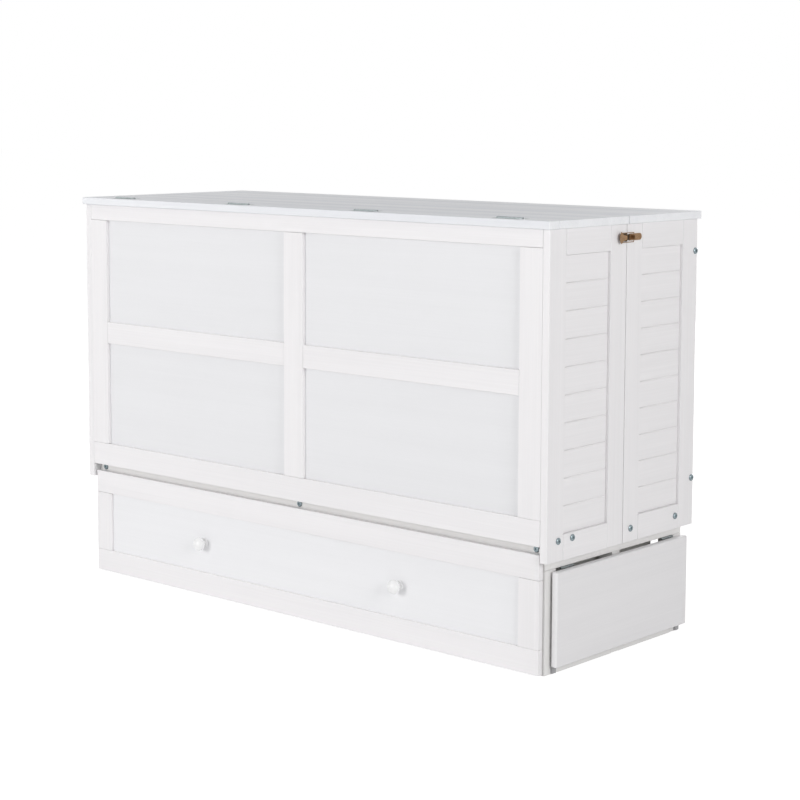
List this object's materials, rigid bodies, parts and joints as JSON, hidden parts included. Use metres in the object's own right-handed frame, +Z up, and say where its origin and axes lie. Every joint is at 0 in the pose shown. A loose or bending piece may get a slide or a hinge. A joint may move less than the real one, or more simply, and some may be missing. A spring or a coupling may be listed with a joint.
{
  "type": "wall bed",
  "caption": "Cabinet that opens into a slatted bed: the front half tips forward, a foot section unfolds on legs, and the base holds a drawer and flap shelves.",
  "frame": {"origin": "on the floor at mid-width, at the split between the front and rear halves", "axes": "+X to the right seen from the front, +Y towards the back, +Z up"},
  "size_m": [1.621, 0.6249, 1.05],
  "materials": {
    "frame_paint": "satin white paint, faint grain",
    "panel_paint": "satin white paint, smooth",
    "top_paint": "satin white paint, long grain",
    "base_paint": "satin white paint",
    "shelf_paint": "satin white paint",
    "knob_paint": "gloss white paint",
    "slat_pine": "planed pine",
    "inner_pine": "planed pine",
    "drawer_board": "white-faced board",
    "zinc_bolt": "bright zinc plate",
    "zinc_plate": "zinc plate",
    "plate_enamel": "white enamel",
    "catch_plastic": "moulded, matte",
    "antique_brass": "antique brass"
  },
  "bodies": {
    "cabinet": {"base_posts": "base_paint", "base_foot_rails": "base_paint", "base_side_rails": "base_paint", "base_front_rail": "base_paint", "front_rail_bolts": "zinc_bolt", "pivot_plates": "plate_enamel", "base_back_rails": "inner_pine", "base_centre_bearer": "inner_pine", "base_slats": "slat_pine", "rear_side_frame_right": "frame_paint", "rear_side_frame_left": "frame_paint", "rear_side_bolts": "zinc_bolt", "rear_side_planks_right": "frame_paint", "rear_side_planks_left": "frame_paint", "back_frame": "frame_paint", "back_panels": "panel_paint", "rear_top": "top_paint", "drawer_runner_channels": "zinc_plate", "shelf_hinge_fixed_leaves": "zinc_plate", "shelf_catches": "catch_plastic", "latch_keepers": "antique_brass"},
    "front_box": {"front_rails": "frame_paint", "front_stiles": "frame_paint", "front_mid_rails": "frame_paint", "front_panels": "panel_paint", "tray_side_frame_right": "frame_paint", "tray_side_frame_left": "frame_paint", "tray_side_bolts": "zinc_bolt", "tray_side_planks_right": "frame_paint", "tray_side_planks_left": "frame_paint", "tray_bearers": "inner_pine", "tray_slats": "slat_pine", "top_nosing": "top_paint", "top_hinge_fixed_leaves": "zinc_plate", "fold_hinge_fixed_leaves": "zinc_plate", "latch_bases": "antique_brass"},
    "top_flap": {"top_flap_board": "top_paint", "top_hinge_moving_leaves": "zinc_plate"},
    "foot_section": {"foot_rails": "inner_pine", "foot_slats": "slat_pine", "fold_hinge_moving_leaves": "zinc_plate", "leg_brackets": "zinc_plate"},
    "leg_frame": {"foot_legs": "inner_pine", "leg_stretcher": "inner_pine"},
    "drawer": {"drawer_front_rails": "frame_paint", "drawer_front_stiles": "frame_paint", "drawer_front_panel": "panel_paint", "drawer_sides": "drawer_board", "drawer_back": "drawer_board", "drawer_bottom": "drawer_board", "drawer_knobs": "knob_paint", "drawer_runner_slides": "zinc_plate"},
    "shelf_right": {"shelf_panel_right": "shelf_paint", "shelf_hinge_leaves_right": "zinc_plate"},
    "shelf_left": {"shelf_panel_left": "shelf_paint", "shelf_hinge_leaves_left": "zinc_plate"},
    "lever_right": {"latch_lever_right": "antique_brass"},
    "lever_left": {"latch_lever_left": "antique_brass"},
    "bail_right": {"latch_bail_right": "antique_brass"},
    "bail_left": {"latch_bail_left": "antique_brass"}
  },
  "joints": [
    {"name": "front_fold", "type": "hinge", "parent": "cabinet", "child": "front_box", "pos_m": [0, -0.289, 0.297], "axis": [1, 0, 0], "range_deg": [0, 90]},
    {"name": "top_flap_fold", "type": "hinge", "parent": "front_box", "child": "top_flap", "pos_m": [0, -0.27185, 1.047], "axis": [1, 0, 0], "range_deg": [0, 180]},
    {"name": "foot_fold", "type": "hinge", "parent": "front_box", "child": "foot_section", "pos_m": [0, -0.226, 1], "axis": [1, 0, 0], "range_deg": [0, 180]},
    {"name": "leg_fold", "type": "hinge", "parent": "foot_section", "child": "leg_frame", "pos_m": [0, -0.1715, 0.49], "axis": [1, 0, 0], "range_deg": [-90, 0]},
    {"name": "drawer_slide", "type": "slide", "parent": "cabinet", "child": "drawer", "axis": [0, -1, 0], "range_m": [0, 0.4]},
    {"name": "shelf_right_flip", "type": "hinge", "parent": "cabinet", "child": "shelf_right", "pos_m": [0.783, 0, 0.2447], "axis": [0, -1, 0], "range_deg": [0, 90]},
    {"name": "shelf_left_flip", "type": "hinge", "parent": "cabinet", "child": "shelf_left", "pos_m": [-0.783, 0, 0.2447], "axis": [0, 1, 0], "range_deg": [0, 90]},
    {"name": "latch_right_lever", "type": "hinge", "parent": "front_box", "child": "lever_right", "pos_m": [0.8075, -0.014, 0.996], "axis": [0, 0, 1], "range_deg": [0, 95]},
    {"name": "latch_right_bail", "type": "hinge", "parent": "lever_right", "child": "bail_right", "pos_m": [0.8051, -0.027, 0.996], "axis": [0, 0, -1], "range_deg": [0, 76]},
    {"name": "latch_left_lever", "type": "hinge", "parent": "front_box", "child": "lever_left", "pos_m": [-0.8075, -0.014, 0.996], "axis": [0, 0, -1], "range_deg": [0, 95]},
    {"name": "latch_left_bail", "type": "hinge", "parent": "lever_left", "child": "bail_left", "pos_m": [-0.8051, -0.027, 0.996], "axis": [0, 0, 1], "range_deg": [0, 76]}
  ],
  "couplings": [
    {"joint": "top_flap_fold", "follows": "front_fold", "ratio": 2},
    {"joint": "foot_fold", "follows": "front_fold", "ratio": 2},
    {"joint": "leg_fold", "follows": "front_fold", "ratio": -1},
    {"joint": "latch_right_bail", "follows": "latch_right_lever", "ratio": 0.8},
    {"joint": "latch_left_bail", "follows": "latch_left_lever", "ratio": 0.8}
  ]
}
